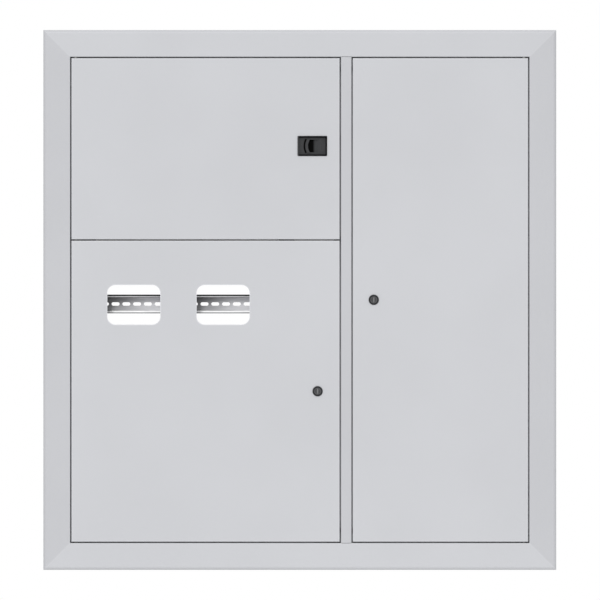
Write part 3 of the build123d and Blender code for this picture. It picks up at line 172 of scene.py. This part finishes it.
# Rubber and the floor
BLOOM = 0.002
BLOOM_DEPTH = 0.00005
BLOOM_TONES = (1.0, 2.0)
BLOOM_STOPS = (0.35, 0.75)
BLOOM_ROUGHNESS = (0.75, 0.9)
FLOOR_CLOUDS = 0.4
FLOOR_TONES = (0.86, 0.90)
FLOOR_ROUGHNESS = 0.9

# Sockets of the colour mixing node
MIX_SHARE = 0
MIX_LOW = 6
MIX_HIGH = 7
MIX_RESULT = 2


# Materials


class Shader:
    """A node material being put together around one Principled shader."""

    def __init__(self, name):
        self.material = bpy.data.materials.new(name)
        self.material.use_nodes = True
        self.tree = self.material.node_tree
        self.surface = self.tree.nodes["Principled BSDF"]
        self.place = self.add("ShaderNodeTexCoord").outputs["Object"]

    def add(self, kind, **settings):
        node = self.tree.nodes.new(kind)
        for key, value in settings.items():
            setattr(node, key, value)
        return node

    def join(self, source, target):
        self.tree.links.new(source, target)

    def axis(self, index):
        """One of the object's coordinates, in metres."""
        split = self.add("ShaderNodeSeparateXYZ")
        self.join(self.place, split.inputs["Vector"])
        return split.outputs[index]

    def step(self, source, start, end):
        """0 at start and 1 at end, with a soft rise between."""
        node = self.add("ShaderNodeMapRange", interpolation_type="SMOOTHSTEP")
        node.inputs["From Min"].default_value = start
        node.inputs["From Max"].default_value = end
        self.join(source, node.inputs["Value"])
        return node.outputs["Result"]

    def span(self, source, low, high):
        """Map 0 to 1 onto low to high."""
        node = self.add("ShaderNodeMapRange")
        node.inputs["To Min"].default_value = low
        node.inputs["To Max"].default_value = high
        self.join(source, node.inputs["Value"])
        return node.outputs["Result"]

    def product(self, first, second):
        """Two values multiplied."""
        node = self.add("ShaderNodeMath", operation="MULTIPLY")
        self.join(first, node.inputs[0])
        self.join(second, node.inputs[1])
        return node.outputs["Value"]

    def noise(self, grain, detail=3.0, stretch=(1, 1, 1)):
        """Noise with features about grain metres across, scaled by stretch along each axis."""
        mapping = self.add("ShaderNodeMapping")
        mapping.inputs["Scale"].default_value = stretch
        self.join(self.place, mapping.inputs["Vector"])
        texture = self.add("ShaderNodeTexNoise")
        texture.inputs["Scale"].default_value = 1 / grain
        texture.inputs["Detail"].default_value = detail
        self.join(mapping.outputs["Vector"], texture.inputs["Vector"])
        return texture.outputs["Fac"]

    def shades(self, source, colour, tones, stops=(0.3, 0.7)):
        """The colour from its first to its second tone, as the source runs from stop to stop."""
        node = self.add("ShaderNodeValToRGB")
        for element, position, tone in zip(node.color_ramp.elements, stops, tones):
            element.position = position
            element.color = (*tinted(colour, tone), 1)
        self.join(source, node.inputs["Fac"])
        return node.outputs["Color"]

    def mix(self, share, low, high, blend="MIX"):
        """Mix two colours, each a socket or a plain colour, by a socket."""
        node = self.add("ShaderNodeMix", data_type="RGBA", blend_type=blend)
        self.join(share, node.inputs[MIX_SHARE])
        for value, target in ((low, node.inputs[MIX_LOW]), (high, node.inputs[MIX_HIGH])):
            if isinstance(value, tuple):
                target.default_value = (*value, 1)
            else:
                self.join(value, target)
        return node.outputs[MIX_RESULT]

    def open_sky(self, reach):
        """1 in the open and towards 0 in corners and gaps narrower than reach."""
        node = self.add("ShaderNodeAmbientOcclusion", samples=8)
        node.inputs["Distance"].default_value = reach
        return node.outputs["AO"]

    def edges(self, radius, turn=0.35):
        """0 on flat faces and 1 on edges, where rounding by the radius turns the normal.

        The mask is full where the cosine between the two normals has fallen by turn.
        """
        rounded = self.add("ShaderNodeBevel", samples=6)
        rounded.inputs["Radius"].default_value = radius
        true = self.add("ShaderNodeNewGeometry")
        dot = self.add("ShaderNodeVectorMath", operation="DOT_PRODUCT")
        self.join(rounded.outputs["Normal"], dot.inputs[0])
        self.join(true.outputs["Normal"], dot.inputs[1])
        node = self.add("ShaderNodeMapRange")
        node.inputs["From Min"].default_value = 1.0
        node.inputs["From Max"].default_value = 1.0 - turn
        self.join(dot.outputs["Value"], node.inputs["Value"])
        return node.outputs["Result"]

    def bump(self, height, depth):
        """Raise the surface by height times depth metres."""
        node = self.add("ShaderNodeBump")
        node.inputs["Strength"].default_value = 1.0
        node.inputs["Distance"].default_value = depth
        self.join(height, node.inputs["Height"])
        return node.outputs["Normal"]

    def set(self, name, value):
        """Give a socket of the surface a value or a link."""
        if isinstance(value, bpy.types.NodeSocket):
            self.join(value, self.surface.inputs[name])
        else:
            self.surface.inputs[name].default_value = value


def tinted(colour, share):
    """The colour times a share."""
    return tuple(channel * share for channel in colour)


def powder_coat(name, colour, wear_and_highlight=1.12, gap_shade=0.0, reach=0.006, lit_strip=None):
    """Satin powder coat: faint clouding, orange peel, edges lighter as thinner paint and painted
    highlight, painted shade in gaps.

    The edge tone stands for thinner paint and painted highlight, the gap share is how dark the painted
    shade in gaps gets, and reach how wide the gaps are that hold it.
    The band is a level band of another tone, used as painted light: the height of its middle, half its
    width, its colour.
    """
    shader = Shader(name)
    clouds = shader.noise(COAT_CLOUDS, detail=2)
    body = shader.shades(clouds, colour, COAT_CLOUD_TONES, COAT_CLOUD_STOPS)
    speckle = shader.noise(COAT_SPECKLE, detail=2)
    speckled = shader.span(speckle, 0.0, COAT_SPECKLE_SHARE)
    body = shader.mix(speckled, body, tinted(colour, COAT_SPECKLE_TONE))
    # Edges lighter: thinner paint and painted highlight
    body = shader.mix(shader.edges(COAT_EDGE, COAT_EDGE_TURN), body, tinted(colour, wear_and_highlight))
    # Painted shade darkens narrow gaps
    if gap_shade:
        narrow = shader.step(shader.open_sky(reach), COAT_GAP_OPEN, COAT_GAP_CLOSED)
        body = shader.mix(shader.span(narrow, 0.0, gap_shade), body, tinted(colour, COAT_GAP_SHADE_TONE))
    # A level band in another tone, used as painted light
    if lit_strip:
        level, half, tone = lit_strip
        rise = shader.axis(Z)
        above = shader.step(rise, level - half - SOFT_EDGE, level - half + SOFT_EDGE)
        below = shader.step(rise, level + half + SOFT_EDGE, level + half - SOFT_EDGE)
        body = shader.mix(shader.product(above, below), body, tone)
    shader.set("Base Color", body)
    shader.set("Roughness", shader.span(shader.noise(COAT_SHEEN), *COAT_ROUGHNESS))
    shader.set("Normal", shader.bump(shader.noise(COAT_PEEL, detail=1), COAT_PEEL_DEPTH))
    shader.set("Specular IOR Level", COAT_SPECULAR)
    return shader.material


def rolling_marks(shader, along):
    """Fine marks that run along an axis."""
    stretch = tuple(ROLLING_STRETCH if axis == along else 1 for axis in (X, Y, Z))
    return shader.noise(ROLLING, detail=3, stretch=stretch)


def rolled_zinc(name, colour, along, dull=0.34):
    """Bright zinc plate with rolling marks along an axis."""
    shader = Shader(name)
    streaks = rolling_marks(shader, along)
    spangle = shader.noise(SPANGLE, detail=4)
    body = shader.shades(streaks, colour, ROLLING_TONES)
    body = shader.mix(shader.span(spangle, 0.0, SPANGLE_SHARE), body, tinted(colour, SPANGLE_TONE))
    body = shader.mix(shader.edges(ZINC_EDGE), body, tinted(colour, ZINC_EDGE_TONE))
    shader.set("Base Color", body)
    shader.set("Metallic", 1.0)
    shader.set("Roughness", shader.span(streaks, dull - ZINC_SMOOTHER, dull + ZINC_ROUGHER))
    shader.set("Normal", shader.bump(streaks, ROLLING_DEPTH))
    return shader.material


def device_rail(name, middle):
    """Zinc rail with painted shade towards the upper left and painted reflection towards the lower right
    of its window, and painted dark and light lines along its flanges.
    """
    shader = Shader(name)
    across = shader.step(shader.axis(X), middle - WINDOW_HALF, middle + WINDOW_HALF)
    upper = shader.mix(across, RAIL_UPPER_LEFT, RAIL_UPPER_RIGHT)
    lower = shader.mix(across, RAIL_LOWER_LEFT, RAIL_LOWER_RIGHT)
    rise = shader.axis(Z)
    top = RAIL_MIDDLE_Z + RAIL_HALF
    bottom = RAIL_MIDDLE_Z - RAIL_HALF
    channel_top = top - RAIL_FLANGE
    channel_bottom = bottom + RAIL_FLANGE
    body = shader.mix(shader.step(rise, channel_top, channel_bottom), upper, lower)
    # Painted lines along the flanges: highlights and shade
    bands = (
        (channel_top, RAIL_PAINTED_HIGHLIGHT, 1),
        (top - RAIL_PAINTED_SHADE_BAND, RAIL_PAINTED_SHADE, 1),
        (channel_bottom, RAIL_PAINTED_HIGHLIGHT, -1),
        (bottom + RAIL_EDGE_BAND, RAIL_EDGE, -1),
    )
    for edge, tone, hand in bands:
        beyond = shader.step(rise, edge - hand * RAIL_BLUR, edge + hand * RAIL_BLUR)
        body = shader.mix(beyond, body, tone)
    streaks = rolling_marks(shader, X)
    body = shader.mix(streaks, body, RAIL_STREAK, blend="MULTIPLY")
    shader.set("Base Color", body)
    shader.set("Metallic", DEVICE_RAIL_METAL)
    shader.set("Roughness", shader.span(streaks, *DEVICE_RAIL_ROUGHNESS))
    shader.set("Normal", shader.bump(streaks, ROLLING_DEPTH))
    return shader.material


def moulded(name, colour, rough, wear_and_highlight=1.8, specular=0.35, zones=()):
    """Moulded plastic or dark metal: fine grain, uneven sheen, edges lighter as wear and painted
    highlight, zones of other tones.

    A zone is a colour with its limits, each an axis and the places where it starts and is full.
    """
    shader = Shader(name)
    grain = shader.noise(SPARK, detail=4)
    body = shader.shades(grain, colour, SPARK_TONES, SPARK_STOPS)
    for tone, *limits in zones:
        masks = [shader.step(shader.axis(axis), start, full) for axis, start, full in limits]
        inside = masks[0]
        for mask in masks[1:]:
            inside = shader.product(inside, mask)
        body = shader.mix(inside, body, tone)
    # Edges lighter: wear and painted highlight
    body = shader.mix(shader.edges(MOULDED_EDGE), body, tinted(colour, wear_and_highlight))
    sheen = shader.noise(MOULDED_SHEEN)
    shader.set("Base Color", body)
    shader.set("Roughness", shader.span(sheen, rough - MOULDED_SMOOTHER, rough + MOULDED_ROUGHER))
    shader.set("Normal", shader.bump(grain, SPARK_DEPTH))
    shader.set("Specular IOR Level", specular)
    return shader.material


def machined(name, colour):
    """Drawn metal with fine lines along Z."""
    shader = Shader(name)
    lines = shader.noise(DRAWN, detail=3, stretch=(1, 1, DRAWN_STRETCH))
    body = shader.shades(lines, colour, DRAWN_TONES)
    tarnish = shader.noise(TARNISH, detail=4)
    body = shader.mix(shader.span(tarnish, 0.0, TARNISH_SHARE), body, tinted(colour, TARNISH_TONE))
    shader.set("Base Color", body)
    shader.set("Metallic", 1.0)
    shader.set("Roughness", shader.span(lines, *DRAWN_ROUGHNESS))
    shader.set("Normal", shader.bump(lines, DRAWN_DEPTH))
    return shader.material


def rubbery(name, colour):
    """Matt rubber with a dusty bloom."""
    shader = Shader(name)
    bloom = shader.noise(BLOOM, detail=4)
    shader.set("Base Color", shader.shades(bloom, colour, BLOOM_TONES, BLOOM_STOPS))
    shader.set("Roughness", shader.span(bloom, *BLOOM_ROUGHNESS))
    shader.set("Normal", shader.bump(bloom, BLOOM_DEPTH))
    return shader.material


# Door, frame and shelf paints: painted shade in their gaps, on the shelf over a wider reach, and edges
# lighter as painted highlight
DOOR_PAINT = powder_coat("door_powder_coat", DOOR_GREY, wear_and_highlight=1.25, gap_shade=0.8)
FRAME_PAINT = powder_coat("frame_powder_coat", DOOR_GREY, wear_and_highlight=1.02, gap_shade=1.0)
SHELF_PAINT = powder_coat("shelf_powder_coat", CASING_GREY, gap_shade=1.0, reach=0.02)
# The crossbar's middle gets a pale band as painted light, where the split between the doors shows it
crossbar_low, crossbar_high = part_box("crossbar")
CROSSBAR_MIDDLE = (crossbar_low[Z] + crossbar_high[Z]) / 2
CROSSBAR_LIT_STRIP = (CROSSBAR_MIDDLE, CROSSBAR_LIT_STRIP_HALF, CROSSBAR_PAINTED_LIGHT)
CROSSBAR_PAINT = powder_coat("crossbar_powder_coat", DOOR_GREY, lit_strip=CROSSBAR_LIT_STRIP)
# Stiles and mullion: painted shade darkens their grey and their gaps
STILE_SHADED_PAINT = powder_coat("stile_shaded_powder_coat", STILE_SHADED_GREY, wear_and_highlight=1.06, gap_shade=1.0)
CASING_PAINT = powder_coat("casing_powder_coat", CASING_GREY)
RAIL_ZINC = rolled_zinc("rail_zinc", ZINC, along=X)
UPRIGHT_ZINC = rolled_zinc("upright_zinc", ZINC, along=Z)
BOLT_ZINC = rolled_zinc("fastener_zinc", FASTENER_ZINC, along=Y, dull=0.3)
BAR_BRASS = machined("bar_brass", BRASS)
BLOCK_BLUE = moulded("insulator_polyamide", INSULATOR_BLUE, rough=0.4, wear_and_highlight=1.2)
# Latch: its finger cup and groove are painted black as shade
LATCH_PLASTIC = moulded("latch_polyamide", LATCH_BLACK, rough=0.6, wear_and_highlight=1.6, specular=0.05, zones=(
    (CUP_PAINTED_SHADE, (Y, CUP_SHALLOW, CUP_DEEP)),
    (CUP_PAINTED_SHADE, (Y, GROOVE_SHALLOW, GROOVE_DEEP), (X, GROOVE_RIGHT + SOFT_EDGE, GROOVE_RIGHT)),
))
# Bezel: painted shade darkens all but its left part
BEZEL_PLASTIC = moulded("bezel_polyamide", BEZEL_SHADED_BLACK, rough=0.6, wear_and_highlight=1.2, specular=0.05, zones=(
    (LATCH_BLACK, (X, BEZEL_LIT_LEFT + SOFT_EDGE, BEZEL_LIT_LEFT)),
))
# Hinge pins: the lower ones are darkened as painted shade
PIN_STEEL = moulded("pin_steel", PIN_GREY, rough=0.4, wear_and_highlight=1.1, specular=0.3, zones=(
    (PIN_SHADE, (Z, PIN_LIGHT_BOTTOM + SOFT_EDGE, PIN_LIGHT_BOTTOM)),
))
# The hinge tab is painted near black as shade
TAB_SHADED_STEEL = moulded("tab_painted_shade", TAB_SHADED_BLACK, rough=0.6, wear_and_highlight=1.2, specular=0.1)
LOCK_METAL = moulded("lock_black", LOCK_BLACK, rough=0.38, specular=0.25, zones=(
    (WELL_GREY, (Y, WELL_FLOOR - SOFT_EDGE, WELL_FLOOR)),
))
CORE_METAL = moulded("core_grey", CORE_GREY, rough=0.35, zones=(
    (BIT_GREY, (Y, CORE_FRONT, BIT_FRONT)),
))
BUFFER_RUBBER = rubbery("buffer_rubber", RUBBER)

SLOT_MATERIALS = {
    "door_paint": DOOR_PAINT,
    "frame_paint": FRAME_PAINT,
    "stile_paint": STILE_SHADED_PAINT,
    "casing_paint": CASING_PAINT,
    "zinc": RAIL_ZINC,
    "fastener_zinc": BOLT_ZINC,
    "brass": BAR_BRASS,
    "insulator": BLOCK_BLUE,
    "latch_black": LATCH_PLASTIC,
    "lock_black": LOCK_METAL,
    "lock_core": CORE_METAL,
    "rubber": BUFFER_RUBBER,
}
for entry in frame["record"]["subparts"]:
    NODES[entry["node"]].data.materials[0] = SLOT_MATERIALS[entry["material_slot"]]
for name, node in NODES.items():
    if "upright" in name and "screws" not in name:
        node.data.materials[0] = UPRIGHT_ZINC
OWN_MATERIALS = {
    "latch_bezel": BEZEL_PLASTIC,
    "compartment_shelf": SHELF_PAINT,
    "crossbar": CROSSBAR_PAINT,
    "middle_hinge_tab": TAB_SHADED_STEEL,
    "door_hinge_pins": PIN_STEEL,
}
for name, material in OWN_MATERIALS.items():
    NODES[name].data.materials[0] = material
for name in ("meter_rail_left", "meter_rail_right"):
    rail_low, rail_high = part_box(name)
    NODES[name].data.materials[0] = device_rail(name + "_zinc", (rail_low[X] + rail_high[X]) / 2)


# Room: floor, sky, key light and camera

floor_mesh = bpy.data.meshes.new("floor")
floor_shape = bmesh.new()
bmesh.ops.create_grid(floor_shape, x_segments=1, y_segments=1, size=FLOOR_HALF)
floor_shape.to_mesh(floor_mesh)
floor_shape.free()
floor = bpy.data.objects.new("floor", floor_mesh)
floor.location = (0, 0, FLOOR_Z)
bpy.context.collection.objects.link(floor)
floor_look = Shader("floor_paper")
floor_look.set("Base Color", floor_look.shades(floor_look.noise(FLOOR_CLOUDS), WHITE, FLOOR_TONES))
floor_look.set("Roughness", FLOOR_ROUGHNESS)
floor_mesh.materials.append(floor_look.material)

# The sky is plain white where it is seen or mirrored, and brighter towards the top where it lights
world = bpy.data.worlds.new("studio")
bpy.context.scene.world = world
world.use_nodes = True
sky = world.node_tree
sky.nodes.clear()
output = sky.nodes.new("ShaderNodeOutputWorld")
lit = sky.nodes.new("ShaderNodeBackground")
seen = sky.nodes.new("ShaderNodeBackground")
choose = sky.nodes.new("ShaderNodeMixShader")
path = sky.nodes.new("ShaderNodeLightPath")
seen_or_shiny = sky.nodes.new("ShaderNodeMath")
seen_or_shiny.operation = "MAXIMUM"
direction = sky.nodes.new("ShaderNodeTexCoord")
split = sky.nodes.new("ShaderNodeSeparateXYZ")
height = sky.nodes.new("ShaderNodeMapRange")
height.inputs["From Min"].default_value = -1.0
height.inputs["From Max"].default_value = 1.0
height.inputs["To Min"].default_value = SKY_SIDE - (SKY_TOP - SKY_SIDE)
height.inputs["To Max"].default_value = SKY_TOP
seen.inputs["Color"].default_value = (*WHITE, 1)
lit.inputs["Strength"].default_value = SKY_LEVEL
sky_links = (
    (direction.outputs["Generated"], split.inputs["Vector"]),
    (split.outputs["Z"], height.inputs["Value"]),
    (height.outputs["Result"], lit.inputs["Color"]),
    (path.outputs["Is Camera Ray"], seen_or_shiny.inputs[0]),
    (path.outputs["Is Glossy Ray"], seen_or_shiny.inputs[1]),
    (seen_or_shiny.outputs["Value"], choose.inputs["Fac"]),
    (lit.outputs["Background"], choose.inputs[1]),
    (seen.outputs["Background"], choose.inputs[2]),
    (choose.outputs["Shader"], output.inputs["Surface"]),
)
for source, target in sky_links:
    sky.links.new(source, target)

key_data = bpy.data.lights.new("key", "SUN")
key_data.energy = KEY_LEVEL
key_data.angle = math.radians(KEY_SOFTNESS)
key = bpy.data.objects.new("key", key_data)
key.rotation_mode = "QUATERNION"
key.rotation_quaternion = Vector(KEY_FROM).to_track_quat("Z", "Y")
bpy.context.collection.objects.link(key)

camera_data = bpy.data.cameras.new("camera")
camera_data.sensor_width = SENSOR_MILLIMETRES
camera_data.lens = SENSOR_MILLIMETRES * CAMERA_DISTANCE / VIEW_WIDTH
camera_data.clip_end = 2 * CAMERA_DISTANCE
camera = bpy.data.objects.new("camera", camera_data)
camera.location = (VIEW_X, BOARD_FRONT - CAMERA_DISTANCE, VIEW_Z)
camera.rotation_euler = (math.pi / 2, 0, 0)
bpy.context.collection.objects.link(camera)
bpy.context.scene.camera = camera
bpy.context.scene.view_settings.view_transform = "Standard"
